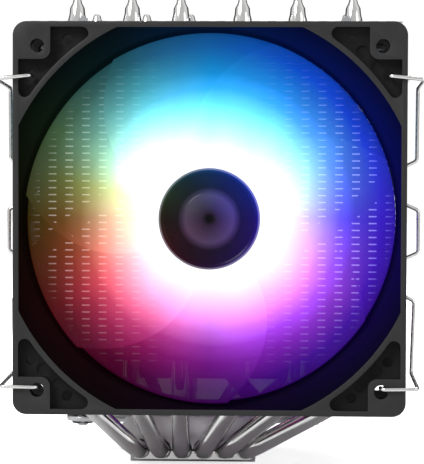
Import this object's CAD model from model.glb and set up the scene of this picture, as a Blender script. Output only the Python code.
"""Looks of a dual-tower processor cooler with two lit 120 mm fans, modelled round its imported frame.

Air runs along +Y: front fan, front fin tower, middle fan, rear fin tower. Sizes inside the classes
are in millimetres; everything that reaches Blender goes through Bench, which works in metres.
"""

from __future__ import annotations

import logging
import math
from contextlib import contextmanager
from dataclasses import dataclass
from enum import Enum, IntEnum
from typing import Iterator, Sequence

import bpy
from mathutils import Matrix, Vector


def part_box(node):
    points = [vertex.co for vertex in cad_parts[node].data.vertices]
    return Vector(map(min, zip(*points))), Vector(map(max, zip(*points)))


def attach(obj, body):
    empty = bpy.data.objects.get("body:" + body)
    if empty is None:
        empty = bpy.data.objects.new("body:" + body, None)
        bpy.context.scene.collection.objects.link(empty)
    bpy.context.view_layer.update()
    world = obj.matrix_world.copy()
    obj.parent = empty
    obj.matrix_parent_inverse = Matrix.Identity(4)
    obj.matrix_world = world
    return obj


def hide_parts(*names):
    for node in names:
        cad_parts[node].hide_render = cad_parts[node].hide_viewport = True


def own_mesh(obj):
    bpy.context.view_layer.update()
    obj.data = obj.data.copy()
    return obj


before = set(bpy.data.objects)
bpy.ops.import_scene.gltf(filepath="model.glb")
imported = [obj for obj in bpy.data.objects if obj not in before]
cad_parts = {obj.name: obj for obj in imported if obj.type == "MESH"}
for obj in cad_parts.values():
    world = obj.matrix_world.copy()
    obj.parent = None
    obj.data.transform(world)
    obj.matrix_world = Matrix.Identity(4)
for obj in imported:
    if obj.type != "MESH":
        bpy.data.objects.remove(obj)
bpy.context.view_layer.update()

MM = 0.001
FULL_TURN = 2 * math.pi
MERGE = 0.002 * MM
SLIVER = 0.001 * MM
SIDES = ("left", "right")

logging.basicConfig(level=logging.INFO, format="%(name)s: %(message)s")
log = logging.getLogger("cooler")

Flat = tuple[float, float]
Route = list[Vector]
Colour = tuple[float, float, float]
Piece = bpy.types.Object
Socket = bpy.types.NodeSocket


# ------------------------------------------------------------------ bench


class Axis(Enum):
    """The axis along which a flat outline is extruded, or about which a profile is turned."""

    X = Vector((1, 0, 0))
    Y = Vector((0, 1, 0))
    Z = Vector((0, 0, 1))

    def point(self, across: float, up: float, along: float) -> Vector:
        """Gives the point, in metres, at two places in the plane and one along the axis.

        Args:
            across: First place in the plane, in millimetres.
            up: Second place in the plane, in millimetres.
            along: Place along the axis, in millimetres.

        Returns:
            The point in metres.
        """
        if self is Axis.X:
            return Vector((along, across, up)) * MM
        if self is Axis.Y:
            return Vector((across, along, up)) * MM
        return Vector((across, up, along)) * MM


class Cut(Enum):
    """How one solid acts on another."""

    AWAY = "DIFFERENCE"
    ONTO = "UNION"
    COMMON = "INTERSECT"


class Bench:
    """The bench tools that every sub-assembly is made with."""

    @staticmethod
    def hold(*pieces: Piece) -> None:
        """Selects only these pieces and makes the first one active.

        Args:
            pieces: The pieces to work on next.
        """
        bpy.ops.object.select_all(action="DESELECT")
        for piece in pieces:
            piece.select_set(True)
        bpy.context.view_layer.objects.active = pieces[0]

    @staticmethod
    def name(piece: Piece, name: str) -> Piece:
        """Names a piece and its mesh."""
        piece.name = piece.data.name = name
        return piece

    @staticmethod
    def add(name: str, data: bpy.types.ID) -> Piece:
        """Puts an object into the scene.

        Args:
            name: Name of the object.
            data: The curve, camera or light that it holds.

        Returns:
            The object.
        """
        thing = bpy.data.objects.new(name, data)
        bpy.context.scene.collection.objects.link(thing)
        return thing

    @staticmethod
    @contextmanager
    def editing(piece: Piece) -> Iterator[None]:
        """Opens a piece in edit mode with all of it selected, and closes it again.

        Args:
            piece: The piece.

        Yields:
            Nothing; the edit operators act on the piece meanwhile.
        """
        Bench.hold(piece)
        bpy.ops.object.mode_set(mode="EDIT")
        bpy.ops.mesh.select_mode(type="VERT")
        bpy.ops.mesh.select_all(action="SELECT")
        yield
        bpy.ops.object.mode_set(mode="OBJECT")

    @staticmethod
    def loop(name: str, count: int, fill: str) -> Piece:
        """Adds a ring of vertices to be moved onto an outline.

        Args:
            name: Name of the new piece.
            count: Number of vertices.
            fill: NGON for a face, NOTHING for a bare ring.

        Returns:
            The new piece.
        """
        bpy.ops.object.select_all(action="DESELECT")
        bpy.ops.mesh.primitive_circle_add(vertices=count, radius=MM, fill_type=fill)
        return Bench.name(bpy.context.object, name)

    @staticmethod
    def prism(name: str, outline: Sequence[Flat], axis: Axis, low: float, high: float) -> Piece:
        """Extrudes a flat outline into a solid.

        Args:
            name: Name of the new piece.
            outline: Corners of the outline in the plane across the axis, in millimetres.
            axis: Axis along which it is extruded.
            low: Where the solid starts along the axis.
            high: Where it ends.

        Returns:
            The closed solid.
        """
        piece = Bench.loop(name, len(outline), "NGON")
        for vertex, (across, up) in zip(piece.data.vertices, outline):
            vertex.co = axis.point(across, up, low)
        with Bench.editing(piece):
            bpy.ops.mesh.extrude_region_move(
                TRANSFORM_OT_translate={"value": axis.value * (high - low) * MM}
            )
            bpy.ops.mesh.select_all(action="SELECT")
            bpy.ops.mesh.normals_make_consistent(inside=False)
        return piece

    @staticmethod
    def turned(name: str, profile: Sequence[Flat], axis: Axis, steps: int = 64) -> Piece:
        """Turns a closed profile about an axis through the origin.

        Args:
            name: Name of the new piece.
            profile: Corners as (radius, place along the axis), in millimetres.
            axis: Axis Y or Z.
            steps: Number of segments round the axis.

        Returns:
            The closed turned solid.
        """
        piece = Bench.loop(name, len(profile), "NOTHING")
        for vertex, (radius, along) in zip(piece.data.vertices, profile):
            vertex.co = axis.point(radius, 0, along)
        with Bench.editing(piece):
            bpy.ops.mesh.spin(
                steps=steps, angle=FULL_TURN, center=(0, 0, 0), axis=axis.value
            )
            bpy.ops.mesh.select_all(action="SELECT")
            bpy.ops.mesh.remove_doubles(threshold=MERGE)
            bpy.ops.mesh.dissolve_degenerate(threshold=SLIVER)
            bpy.ops.mesh.delete_loose(use_verts=True, use_edges=True, use_faces=False)
            bpy.ops.mesh.select_all(action="SELECT")
            bpy.ops.mesh.normals_make_consistent(inside=False)
        return piece

    @staticmethod
    def rod(
        name: str, radius: float, centre: Flat, axis: Axis, low: float, high: float, steps: int = 32
    ) -> Piece:
        """Makes a round bar along an axis, mostly as a drill for holes."""
        return Bench.prism(name, Outline.disc(radius, centre, steps), axis, low, high)

    @staticmethod
    def join(*pieces: Piece) -> Piece:
        """Makes one object of several, without cutting them.

        Args:
            pieces: The pieces.

        Returns:
            The first piece, which now holds them all.
        """
        Bench.hold(*pieces)
        bpy.ops.object.join()
        return pieces[0]

    @staticmethod
    def modify(piece: Piece, kind: str, **settings: object) -> Piece:
        """Adds a modifier to a piece and applies it.

        Args:
            piece: The piece.
            kind: Blender's name of the modifier type.
            settings: The modifier's own settings.

        Returns:
            The same piece.
        """
        step = piece.modifiers.new(kind, kind)
        for key, value in settings.items():
            setattr(step, key, value)
        Bench.hold(piece)
        bpy.ops.object.modifier_apply(modifier=step.name)
        return piece

    @staticmethod
    def machine(piece: Piece, how: Cut, *tools: Piece) -> Piece:
        """Cuts or joins a piece with tools, which are used up.

        Args:
            piece: The piece that is worked on.
            how: Whether the tools cut away, join on or leave the common part.
            tools: Solids that don't touch one another.

        Returns:
            The same piece.
        """
        tool = Bench.join(*tools)
        Bench.modify(piece, "BOOLEAN", object=tool, operation=how.value, solver="EXACT")
        bpy.data.objects.remove(tool)
        return piece

    @staticmethod
    def break_edges(piece: Piece, width: float, segments: int = 2, angle: float = 40) -> Piece:
        """Rounds a piece's sharp edges.

        Args:
            piece: The piece.
            width: Width of the rounding in millimetres.
            segments: Facets across the rounding.
            angle: Edges sharper than this, in degrees, are rounded.

        Returns:
            The same piece.
        """
        limit = {"limit_method": "ANGLE", "angle_limit": math.radians(angle)}
        return Bench.modify(piece, "BEVEL", width=width * MM, segments=segments, **limit)

    @staticmethod
    def wire(
        name: str, route: Route, radius: float, sides: int, sizes: Sequence[float] = ()
    ) -> Piece:
        """Draws a round wire or pipe along a route.

        Args:
            name: Name of the new piece.
            route: Points of the centre line, in metres.
            radius: Radius of the section in millimetres.
            sides: Sides of the section.
            sizes: Share of the radius at each point, where it isn't the same all along.

        Returns:
            A closed tube with capped ends.
        """
        curve = bpy.data.curves.new(name, "CURVE")
        curve.dimensions = "3D"
        curve.bevel_depth = radius * MM
        curve.bevel_resolution = (sides - 4) // 2
        curve.use_fill_caps = True
        spline = curve.splines.new("POLY")
        spline.points.add(len(route) - 1)
        for index, point in enumerate(route):
            spline.points[index].co = (*point, 1)
            spline.points[index].radius = sizes[index] if sizes else 1
        piece = Bench.add(name, curve)
        Bench.hold(piece)
        bpy.ops.object.convert(target="MESH")
        with Bench.editing(piece):
            bpy.ops.mesh.remove_doubles(threshold=MERGE)
            bpy.ops.mesh.normals_make_consistent(inside=False)
        return Bench.name(bpy.context.object, name)

    @staticmethod
    def stack(piece: Piece, count: int, pitch: float) -> Piece:
        """Repeats a piece upwards, all in one mesh.

        Args:
            piece: The lowest one.
            count: How many there are.
            pitch: Height from one to the next, in millimetres.

        Returns:
            The same piece.
        """
        step = {"use_relative_offset": False, "use_constant_offset": True}
        rise = (0, 0, pitch * MM)
        return Bench.modify(piece, "ARRAY", count=count, constant_offset_displace=rise, **step)

    @staticmethod
    def copy(piece: Piece, name: str, turn: float = 0, mirror: bool = False) -> Piece:
        """Copies a piece with a mesh of its own.

        Args:
            piece: The piece that is copied.
            name: Name of the copy.
            turn: Degrees that the copy is turned about Y through the origin.
            mirror: Whether the copy is mirrored in X.

        Returns:
            The copy, with its place in its mesh.
        """
        Bench.hold(piece)
        bpy.ops.object.duplicate(linked=False)
        twin = Bench.name(bpy.context.object, name)
        twin.data.transform(Matrix.Rotation(math.radians(turn), 4, "Y"))
        if mirror:
            twin.data.transform(Matrix.Scale(-1, 4, Vector((1, 0, 0))))
            with Bench.editing(twin):
                bpy.ops.mesh.normals_make_consistent(inside=False)
        return twin

    @staticmethod
    def settle(piece: Piece, place: Vector) -> Piece:
        """Moves a piece to its place, in metres, and keeps that place in its mesh.

        Args:
            piece: The piece.
            place: How far it moves.

        Returns:
            The same piece.
        """
        Bench.hold(piece)
        bpy.ops.transform.translate(value=place)
        bpy.ops.object.transform_apply(location=True, rotation=True, scale=True)
        return piece

    @staticmethod
    def smooth(piece: Piece, angle: float = 35) -> Piece:
        """Shades a piece smooth except across edges sharper than an angle in degrees.

        Args:
            piece: The piece.
            angle: The angle.

        Returns:
            The same piece.
        """
        Bench.hold(piece)
        bpy.ops.object.shade_smooth_by_angle(angle=math.radians(angle))
        return piece


class Outline:
    """Flat outlines, in millimetres."""

    @staticmethod
    def arc(centre: Flat, radius: float, start: float, end: float, steps: int) -> list[Flat]:
        """Lists the points of an arc.

        Args:
            centre: Centre of the arc.
            radius: Radius of the arc.
            start: First angle in degrees, anticlockwise from across.
            end: Last angle in degrees.
            steps: Number of straight steps.

        Returns:
            The points, both ends included.
        """
        angles = [math.radians(start + (end - start) * s / steps) for s in range(steps + 1)]
        return [
            (centre[0] + radius * math.cos(a), centre[1] + radius * math.sin(a)) for a in angles
        ]

    @staticmethod
    def disc(radius: float, centre: Flat = (0, 0), steps: int = 64) -> list[Flat]:
        """Lists the corners of a many-sided disc."""
        return Outline.arc(centre, radius, 0, 360, steps)[:-1]

    @staticmethod
    def box(left: float, right: float, low: float, high: float) -> list[Flat]:
        """Lists the corners of a rectangle."""
        return [(left, low), (right, low), (right, high), (left, high)]

    @staticmethod
    def rounded_box(half_across: float, half_up: float, radius: float, steps: int) -> list[Flat]:
        """Lists the corners of a rectangle with round corners, centred on the origin.

        Args:
            half_across: Half of its width.
            half_up: Half of its height.
            radius: Radius of its corners.
            steps: Straight steps in each corner.

        Returns:
            The corners, anticlockwise.
        """
        outline: list[Flat] = []
        for quarter, (x, z) in enumerate(((1, 1), (-1, 1), (-1, -1), (1, -1))):
            centre = (x * (half_across - radius), z * (half_up - radius))
            outline += Outline.arc(centre, radius, 90 * quarter, 90 * quarter + 90, steps)
        return outline

    @staticmethod
    def bent(corners: Sequence[Vector], radii: Sequence[float], steps: int) -> Route:
        """Rounds the corners of a route of straight runs.

        Args:
            corners: Corners of the route, in metres.
            radii: Bend radius at each inner corner, in millimetres.
            steps: Straight steps in each bend.

        Returns:
            The points of the rounded route, in metres.
        """
        route = [corners[0]]
        for index, bend in enumerate(radii, start=1):
            here = corners[index]
            along = (here - corners[index - 1]).normalized()
            onward = (corners[index + 1] - here).normalized()
            turn = along.angle(onward)
            across = (onward - along * math.cos(turn)).normalized()
            start = here - along * bend * MM * math.tan(turn / 2)
            for step in range(steps + 1):
                angle = turn * step / steps
                route.append(
                    start
                    + along * bend * MM * math.sin(angle)
                    + across * bend * MM * (1 - math.cos(angle))
                )
        route.append(corners[-1])
        return route


# ------------------------------------------------------------------ finishes


class Nodes:
    """A node tree, with short ways to add nodes and links."""

    def __init__(self, tree: bpy.types.NodeTree, coordinates: str = "Object") -> None:
        """Takes up the tree of a material or a world."""
        self.tree = tree
        self.place = self.add("ShaderNodeTexCoord").outputs[coordinates]

    def add(self, kind: str, **settings: object) -> bpy.types.Node:
        """Adds a node and sets its properties.

        Args:
            kind: Blender's name of the node type.
            settings: The node's own properties.

        Returns:
            The node.
        """
        node = self.tree.nodes.new(kind)
        for key, value in settings.items():
            setattr(node, key, value)
        return node

    def link(self, source: object, target: object) -> None:
        """Links an output, or sets a plain value, on an input.

        Args:
            source: An output, or a plain value.
            target: The input.
        """
        if isinstance(source, Socket):
            self.tree.links.new(source, target)
        else:
            target.default_value = source

    def math(self, operation: str, *values: object) -> Socket:
        """Adds a Math node on sockets or numbers.

        Args:
            operation: Blender's name of the operation.
            values: What its inputs read.

        Returns:
            The result.
        """
        node = self.add("ShaderNodeMath", operation=operation)
        for index, value in enumerate(values):
            self.link(value, node.inputs[index])
        return node.outputs[0]

    def shifted(self, scale: Sequence[float], centre: Vector = Vector()) -> Socket:
        """Gives the place on the piece, measured from a centre and stretched by a scale.

        Args:
            scale: Stretch along X, Y and Z.
            centre: Point that it is measured from, in metres.

        Returns:
            The place.
        """
        node = self.add("ShaderNodeMapping", vector_type="POINT")
        node.inputs["Location"].default_value = [-c * s for c, s in zip(centre, scale)]
        node.inputs["Scale"].default_value = scale
        self.link(self.place, node.inputs["Vector"])
        return node.outputs[0]

    def noise(self, size: float, detail: float = 2, stretch: Sequence[float] = (1, 1, 1)) -> Socket:
        """Adds a noise pattern.

        Args:
            size: Size of its largest grains in millimetres.
            detail: How many finer layers it has.
            stretch: Share of the frequency along X, Y and Z.

        Returns:
            The noise value, about 0.5 on average.
        """
        node = self.add("ShaderNodeTexNoise")
        self.link(self.shifted(stretch), node.inputs["Vector"])
        node.inputs["Scale"].default_value = 1 / (size * MM)
        node.inputs["Detail"].default_value = detail
        return node.outputs["Fac"]

    def vector(self, operation: str, first: object, second: object) -> Socket:
        """Adds a Vector Math node; SCALE takes a plain number or a value as the second.

        Args:
            operation: Blender's name of the operation.
            first: What it works on.
            second: What it works with.

        Returns:
            The result.
        """
        node = self.add("ShaderNodeVectorMath", operation=operation)
        self.link(first, node.inputs[0])
        self.link(second, node.inputs["Scale"] if operation == "SCALE" else node.inputs[1])
        return node.outputs[0]

    def power(self, colour: object, exponent: float) -> Socket:
        """Deepens a colour by raising it to a power.

        Args:
            colour: The colour.
            exponent: The power.

        Returns:
            The deeper colour.
        """
        node = self.add("ShaderNodeGamma")
        self.link(colour, node.inputs["Color"])
        node.inputs["Gamma"].default_value = exponent
        return node.outputs[0]

    def ramp(self, value: object, stops: Sequence[tuple[float, Sequence[float]]]) -> Socket:
        """Adds a colour ramp.

        Args:
            value: What it reads, from 0 to 1.
            stops: Pairs of a place and a linear colour.

        Returns:
            The colour.
        """
        node = self.add("ShaderNodeValToRGB")
        elements = node.color_ramp.elements
        while len(elements) < len(stops):
            elements.new(0.5)
        for element, (place, _) in zip(elements, stops):
            element.position = place
        for element, (_, colour) in zip(elements, stops):
            element.color = (*colour, 1)
        self.link(value, node.inputs[0])
        return node.outputs["Color"]

    def greys(self, value: object, stops: Sequence[Flat]) -> Socket:
        """Adds a ramp of greys, given as pairs of a place and a level."""
        return self.ramp(value, [(place, (level, level, level)) for place, level in stops])

    def split(self, place: Socket) -> bpy.types.NodeOutputs:
        """Splits a place into its X, Y and Z.

        Args:
            place: The place.

        Returns:
            The outputs X, Y and Z.
        """
        node = self.add("ShaderNodeSeparateXYZ")
        self.link(place, node.inputs[0])
        return node.outputs

    def seen(self) -> Socket:
        """Gives 1 where the camera looks with nothing clear in between, and 0 elsewhere.

        Returns:
            The share.
        """
        path = self.add("ShaderNodeLightPath").outputs
        direct = self.math("LESS_THAN", path["Transparent Depth"], 0.5)
        return self.math("MULTIPLY", path["Is Camera Ray"], direct)

    def span(self, value: object, low: float, high: float) -> Socket:
        """Maps a noise value onto a range.

        Args:
            value: The noise value, mostly between a quarter and three quarters.
            low: Result at a quarter.
            high: Result at three quarters.

        Returns:
            The mapped value.
        """
        node = self.add("ShaderNodeMapRange")
        self.link(value, node.inputs["Value"])
        node.inputs["From Min"].default_value = 0.25
        node.inputs["From Max"].default_value = 0.75
        node.inputs["To Min"].default_value = low
        node.inputs["To Max"].default_value = high
        return node.outputs[0]

    def blend(self, share: object, first: object, second: object) -> Socket:
        """Mixes two colours by a share.

        Args:
            share: Share of the second colour.
            first: First colour.
            second: Second colour.

        Returns:
            The mixed colour.
        """
        node = self.add("ShaderNodeMix", data_type="RGBA")
        self.link(share, node.inputs["Factor"])
        self.link(first, node.inputs[6])
        self.link(second, node.inputs[7])
        return node.outputs[2]

    def bump(self, height: object, depth: float, below: object = None) -> Socket:
        """Turns a height pattern into a bump, in millimetres of depth.

        Args:
            height: The pattern.
            depth: Its depth.
            below: Bump that this one lies on.

        Returns:
            The bent normal.
        """
        node = self.add("ShaderNodeBump")
        node.inputs["Distance"].default_value = depth * MM
        self.link(height, node.inputs["Height"])
        if below is not None:
            self.link(below, node.inputs["Normal"])
        return node.outputs["Normal"]

    def set(self, **values: object) -> None:
        """Sets or links the shader's sockets, named with underscores for spaces."""
        for key, value in values.items():
            self.link(value, self.tree.nodes["Principled BSDF"].inputs[key.replace("_", " ")])


@dataclass(frozen=True)
class Finish:
    """A finish that a piece is dressed in."""

    name: str

    def dress(self, kit: Nodes) -> None:
        """Adds the finish's nodes to a material's tree."""
        raise NotImplementedError

    def material(self) -> bpy.types.Material:
        """Gives the material, built the first time that it is asked for.

        Returns:
            The finish's one material.
        """
        made = bpy.data.materials.get(self.name)
        if made is None:
            made = bpy.data.materials.new(self.name)
            made.use_nodes = True
            self.dress(Nodes(made.node_tree))
        return made

    def coat(self, piece: Piece) -> None:
        """Puts the finish on a piece in place of what it had."""
        piece.data.materials.clear()
        piece.data.materials.append(self.material())


@dataclass(frozen=True)
class MouldedPlastic(Finish):
    """Spark-eroded black moulding, satin, a little greyer where the tool was worn."""

    dark: Colour = (0.012, 0.012, 0.0125)
    light: Colour = (0.019, 0.019, 0.020)
    gloss: tuple[float, float] = (0.42, 0.58)
    shine: float = 0.28

    def dress(self, kit: Nodes) -> None:
        """Builds a mottled satin surface with a fine eroded grain.

        Args:
            kit: Node tree of the material.
        """
        cloud = kit.noise(14, 3)
        grain = kit.noise(0.35)
        kit.set(
            Base_Color=kit.blend(cloud, (*self.dark, 1), (*self.light, 1)),
            Roughness=kit.span(kit.noise(4), *self.gloss),
            Normal=kit.bump(grain, 0.02),
            Specular_IOR_Level=self.shine,
        )


@dataclass(frozen=True)
class PlatedMetal(Finish):
    """Bright nickel plate with faint draw lines and a trace of orange peel."""

    tint: Colour = (0.76, 0.755, 0.74)
    shade: Colour = (0.60, 0.60, 0.60)
    gloss: tuple[float, float] = (0.10, 0.19)
    lines: tuple[float, float, float] = (1, 1, 0.05)

    def dress(self, kit: Nodes) -> None:
        """Builds a mirror-like metal with stretched draw lines.

        Args:
            kit: Node tree of the material.
        """
        drawn = kit.noise(0.5, 2, self.lines)
        peel = kit.bump(kit.noise(2.5, 1), 0.02)
        kit.set(
            Base_Color=kit.blend(kit.noise(9, 3), (*self.shade, 1), (*self.tint, 1)),
            Metallic=1.0,
            Roughness=kit.span(drawn, *self.gloss),
            Normal=kit.bump(drawn, 0.004, peel),
        )


@dataclass(frozen=True)
class BlastedAluminium(Finish):
    """Bead-blasted aluminium: matt, with fine pits."""

    tint: Colour = (0.90, 0.90, 0.90)
    shade: Colour = (0.80, 0.80, 0.80)

    def dress(self, kit: Nodes) -> None:
        """Builds a matt metal with blasted pits.

        Args:
            kit: Node tree of the material.
        """
        pits = kit.add("ShaderNodeTexVoronoi")
        kit.link(kit.place, pits.inputs["Vector"])
        pits.inputs["Scale"].default_value = 1 / (0.3 * MM)
        kit.set(
            Base_Color=kit.blend(kit.noise(6, 3), (*self.shade, 1), (*self.tint, 1)),
            Metallic=1.0,
            Roughness=kit.span(kit.noise(1.2), 0.38, 0.52),
            Normal=kit.bump(pits.outputs["Distance"], 0.03),
        )


@dataclass(frozen=True)
class BrushedSteel(Finish):
    """Steel with brush lines along X, bright or blackened."""

    tint: Colour = (0.62, 0.62, 0.63)
    shade: Colour = (0.46, 0.46, 0.47)
    gloss: tuple[float, float] = (0.22, 0.36)
    lines: tuple[float, float, float] = (0.06, 1, 1)

    def dress(self, kit: Nodes) -> None:
        """Builds a brushed metal.

        Args:
            kit: Node tree of the material.
        """
        brushed = kit.noise(0.25, 3, self.lines)
        kit.set(
            Base_Color=kit.blend(brushed, (*self.shade, 1), (*self.tint, 1)),
            Metallic=1.0,
            Roughness=kit.span(brushed, *self.gloss),
            Normal=kit.bump(brushed, 0.006),
        )


@dataclass(frozen=True)
class LightField:
    """The colours that the ring of lights round a hub throws outwards.

    The hue turns once round the hub, with deeper hues near the duct. Near the hub the light
    burns out to white. Each row of fade gives a radius and the shares there of hue, white and
    outer hue.
    """

    centre: Vector
    ceiling: float = 1.15
    reach: float = 60
    strongest: float = 6
    hues: tuple[tuple[int, tuple[int, int, int]], ...] = (
        (-180, (119, 22, 140)),
        (-150, (152, 30, 96)),
        (-120, (174, 50, 66)),
        (-105, (142, 62, 40)),
        (-90, (112, 76, 34)),
        (-75, (116, 125, 64)),
        (-60, (118, 168, 140)),
        (-30, (75, 173, 190)),
        (0, (24, 153, 228)),
        (30, (36, 149, 248)),
        (60, (73, 138, 243)),
        (90, (84, 68, 234)),
        (120, (150, 64, 227)),
        (150, (142, 42, 204)),
        (180, (119, 22, 140)),
    )
    outer_hues: tuple[tuple[int, tuple[int, int, int]], ...] = (
        (-180, (62, 3, 85)),
        (-150, (73, 1, 45)),
        (-120, (91, 21, 25)),
        (-90, (64, 50, 14)),
        (-60, (65, 93, 63)),
        (-30, (33, 87, 99)),
        (0, (19, 91, 160)),
        (30, (8, 73, 195)),
        (60, (25, 62, 210)),
        (90, (54, 28, 189)),
        (120, (67, 22, 165)),
        (150, (60, 12, 127)),
        (180, (62, 3, 85)),
    )
    fade: tuple[tuple[float, float, float, float], ...] = (
        (15, 6.0, 1.3, 0.0),
        (21, 6.0, 1.0, 0.0),
        (26.5, 5.6, 0.58, 0.0),
        (31, 3.9, 0.32, 0.0),
        (35.5, 2.6, 0.12, 0.0),
        (40, 1.5, 0.02, 0.0),
        (45, 0.80, 0.0, 0.05),
        (49, 0.36, 0.0, 0.5),
        (53, 0.0, 0.0, 1.0),
        (56, 0.0, 0.0, 0.75),
        (59, 0.0, 0.0, 0.3),
    )

    @staticmethod
    def linear(colour: Sequence[int]) -> list[float]:
        """Turns an 8-bit display colour into a linear one."""
        return [((c / 255 + 0.055) / 1.055) ** 2.4 for c in colour]

    def polar(self, kit: Nodes) -> tuple[Socket, ...]:
        """Adds the nodes that place a point round the hub.

        Args:
            kit: Node tree of the lit material.

        Returns:
            The turn from 0 to 1, the radius in metres, and the share of it that is sideways.
        """
        place = kit.split(kit.shifted((1, 1, 1), self.centre))
        x, z = place["X"], place["Z"]
        turn = kit.math("MULTIPLY_ADD", kit.math("ARCTAN2", x, z), 1 / FULL_TURN, 0.5)
        squares = kit.math("ADD", kit.math("MULTIPLY", x, x), kit.math("MULTIPLY", z, z))
        radius = kit.math("SQRT", squares)
        return turn, radius, kit.math("DIVIDE", kit.math("ABSOLUTE", x), radius)

    def hue(self, kit: Nodes, outer: bool = False) -> Socket:
        """Adds the nodes that give the inner or outer hue at each angle round the hub.

        Args:
            kit: Node tree of the lit material.
            outer: Whether it is the deeper hue near the duct.

        Returns:
            The linear colour.
        """
        turn, _, _ = self.polar(kit)
        hues = self.outer_hues if outer else self.hues
        return kit.ramp(turn, [(0.5 + a / 360, self.linear(c)) for a, c in hues])

    def glow(self, kit: Nodes) -> Socket:
        """Adds the nodes that give the light's colour at each place.

        Args:
            kit: Node tree of the lit material.

        Returns:
            The colour of the light, for an emission socket.
        """
        _, radius, _ = self.polar(kit)
        ramp = kit.ramp(
            kit.math("DIVIDE", radius, self.reach * MM),
            [(r / self.reach, (c / self.strongest, w / 2, o / 2)) for r, c, w, o in self.fade],
        )
        shares = kit.add("ShaderNodeSeparateColor")
        kit.link(ramp, shares.inputs[0])
        tinted = kit.vector(
            "SCALE", self.hue(kit), kit.math("MULTIPLY", shares.outputs["Red"], self.strongest)
        )
        white = kit.math("MULTIPLY", shares.outputs["Green"], 2.0)
        outer = kit.vector(
            "SCALE", self.hue(kit, outer=True), kit.math("MULTIPLY", shares.outputs["Blue"], 2.0)
        )
        total = kit.vector("ADD", kit.vector("ADD", tinted, white), outer)
        return kit.vector("MINIMUM", total, (self.ceiling, self.ceiling, self.ceiling))


@dataclass(frozen=True)
class PolishedDuct(Finish):
    """The polished inner wall of the frame, deep black, tinted faintly by the lit blades."""

    light: LightField | None = None
    shine: float = 0.145
    deepen: float = 1.3
    mouth: float = 65.0
    fade: tuple[Flat, ...] = ((0.885, 0.35), (0.905, 1.0), (0.94, 0.8), (1.0, 0.35))

    def dress(self, kit: Nodes) -> None:
        """Builds a dark, smooth plastic with faint turning marks from the tool.

        Args:
            kit: Node tree of the material.
        """
        marks = kit.noise(0.8, 2, (0.1, 1, 0.1))
        _, radius, _ = self.light.polar(kit)
        share = kit.greys(kit.math("DIVIDE", radius, self.mouth * MM), self.fade)
        hue = kit.power(self.light.hue(kit, outer=True), self.deepen)
        tint = kit.vector("MULTIPLY", hue, share)
        kit.set(
            Base_Color=kit.blend(marks, (0.0012, 0.0012, 0.0014, 1), (0.002, 0.002, 0.0022, 1)),
            Roughness=kit.span(marks, 0.52, 0.66),
            Normal=kit.bump(marks, 0.004),
            Specular_IOR_Level=0.0,
            Emission_Color=kit.vector("SCALE", tint, self.shine),
            Emission_Strength=1.0,
        )


DEEP_BLACK = ((0.0015, 0.0015, 0.002, 1), (0.003, 0.003, 0.004, 1))


@dataclass(frozen=True)
class HubGloss(Finish):
    """Glossy black cap with a soft violet centre and a rim that catches the light."""

    light: LightField | None = None
    radius: float = 15.5
    tinge: float = 3.0
    deepen: float = 1.15
    ring_pitch: float = 0.35
    dish: tuple[tuple[float, Colour], ...] = (
        (0.0, (0.0, 0.0, 0.0)), (0.06, (0.001, 0.001, 0.002)), (0.15, (0.026, 0.013, 0.036)),
        (0.47, (0.062, 0.040, 0.085)), (0.52, (0.040, 0.024, 0.058)),
        (0.62, (0.004, 0.002, 0.006)), (0.955, (0.0, 0.0, 0.0)), (0.975, (0.16, 0.16, 0.19)),
    )
    leak: tuple[Flat, ...] = (
        (0.10, 0.0), (0.30, 0.06), (0.48, 0.10), (0.62, 0.045), (0.88, 0.085), (0.93, 0.13),
        (0.98, 0.28),
    )

    def dress(self, kit: Nodes) -> None:
        """Builds black gloss with a very fine spun grain round its centre.

        Args:
            kit: Node tree of the material.
        """
        _, radius, _ = self.light.polar(kit)
        rings = kit.math("SINE", kit.math("MULTIPLY", radius, FULL_TURN / (self.ring_pitch * MM)))
        place = kit.math("DIVIDE", radius, self.radius * MM)
        dish, leak = kit.ramp(place, self.dish), kit.greys(place, self.leak)
        hue = kit.power(self.light.hue(kit, outer=True), self.deepen)
        deep = kit.vector("SCALE", hue, self.tinge)
        kit.set(
            Base_Color=kit.blend(kit.noise(4), *DEEP_BLACK),
            Roughness=kit.span(kit.noise(3), 0.18, 0.30),
            Normal=kit.bump(rings, 0.0015),
            Specular_IOR_Level=0.06,
            Emission_Color=kit.vector("ADD", kit.vector("MULTIPLY", deep, leak), dish),
            Emission_Strength=1.0,
        )


@dataclass(frozen=True)
class FrostedBlade(Finish):
    """Frosted translucent blades, lit from the hub."""

    light: LightField | None = None
    clear: float = 0.15
    drive: float = 1.06

    def dress(self, kit: Nodes) -> None:
        """Builds a half-clear, glowing plastic with faint flow marks.

        Args:
            kit: Node tree of the material.
        """
        flow = kit.span(kit.noise(16), 0.92 * self.drive, 1.08 * self.drive)
        kit.set(
            Base_Color=kit.blend(kit.noise(5), *DEEP_BLACK),
            Roughness=kit.span(kit.noise(3), 0.34, 0.48),
            Emission_Color=kit.vector("SCALE", self.light.glow(kit), flow),
            Emission_Strength=1.0,
            Alpha=1 - self.clear,
            Normal=kit.bump(kit.noise(0.4, 1), 0.01),
            Specular_IOR_Level=0.0,
        )


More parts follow.
